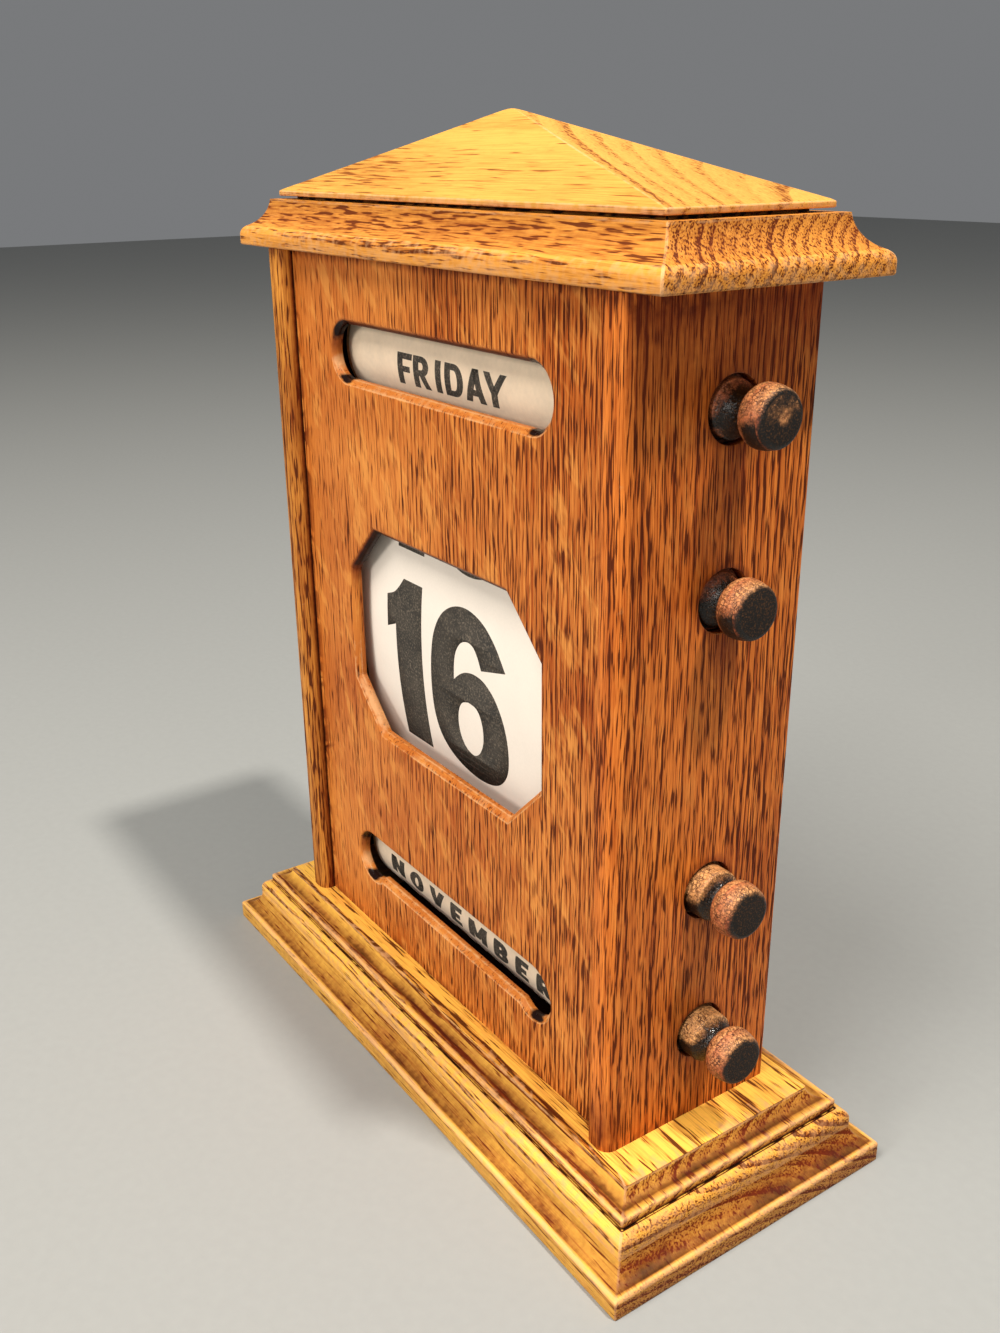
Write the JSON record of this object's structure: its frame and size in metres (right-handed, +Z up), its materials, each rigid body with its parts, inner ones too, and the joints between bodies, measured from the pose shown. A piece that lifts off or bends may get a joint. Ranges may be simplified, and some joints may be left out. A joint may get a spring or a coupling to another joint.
{
  "type": "perpetual desk calendar",
  "caption": "Moulded oak desk calendar with a day drum, a month drum and a date scroll behind windows, each turned by a knob in its right side.",
  "frame": {"origin": "middle of the plinth's underside", "axes": "+Z up, -Y out of the windows, +X towards the side with the knobs"},
  "size_m": [0.2246, 0.097, 0.2803],
  "materials": {
    "oak_case": "waxed",
    "oak_mouldings": "waxed",
    "turned_wood": "worn polish",
    "drum_wood": "bare",
    "linen": "matt",
    "paper": "matt",
    "screw_brass": "aged"
  },
  "bodies": {
    "case": {"plinth_lower": "oak_mouldings", "plinth_upper": "oak_mouldings", "side_left": "oak_case", "side_right": "oak_case", "front_panel": "oak_case", "back_panel": "oak_case", "corner_blocks_lower": "drum_wood", "corner_blocks_upper": "drum_wood", "cornice_board": "oak_mouldings", "roof_cap": "oak_mouldings", "back_screws": "screw_brass", "plinth_screws": "screw_brass", "date_strip": "paper"},
    "day_reel": {"day_spindle": "turned_wood", "day_drum": "drum_wood", "day_band": "linen"},
    "upper_reel": {"upper_spindle": "turned_wood", "upper_roller": "drum_wood", "upper_roll": "paper"},
    "lower_reel": {"lower_spindle": "turned_wood", "lower_roller": "drum_wood", "lower_roll": "paper"},
    "month_reel": {"month_spindle": "turned_wood", "month_drum": "drum_wood", "month_band": "linen"}
  },
  "joints": [
    {"name": "day_turn", "type": "hinge", "parent": "case", "child": "day_reel", "pos_m": [0, 0.00125, 0.2168], "axis": [1, 0, 0], "continuous": true},
    {"name": "upper_date_turn", "type": "hinge", "parent": "case", "child": "upper_reel", "pos_m": [0, 0.00125, 0.1719], "axis": [1, 0, 0], "range_deg": [-3325, 3325]},
    {"name": "lower_date_turn", "type": "hinge", "parent": "case", "child": "lower_reel", "pos_m": [0, 0.00125, 0.0933], "axis": [1, 0, 0], "range_deg": [-3325, 3325]},
    {"name": "month_turn", "type": "hinge", "parent": "case", "child": "month_reel", "pos_m": [0, 0.00125, 0.0495], "axis": [1, 0, 0], "continuous": true}
  ],
  "couplings": [
    {"joint": "lower_date_turn", "follows": "upper_date_turn", "ratio": 1}
  ]
}
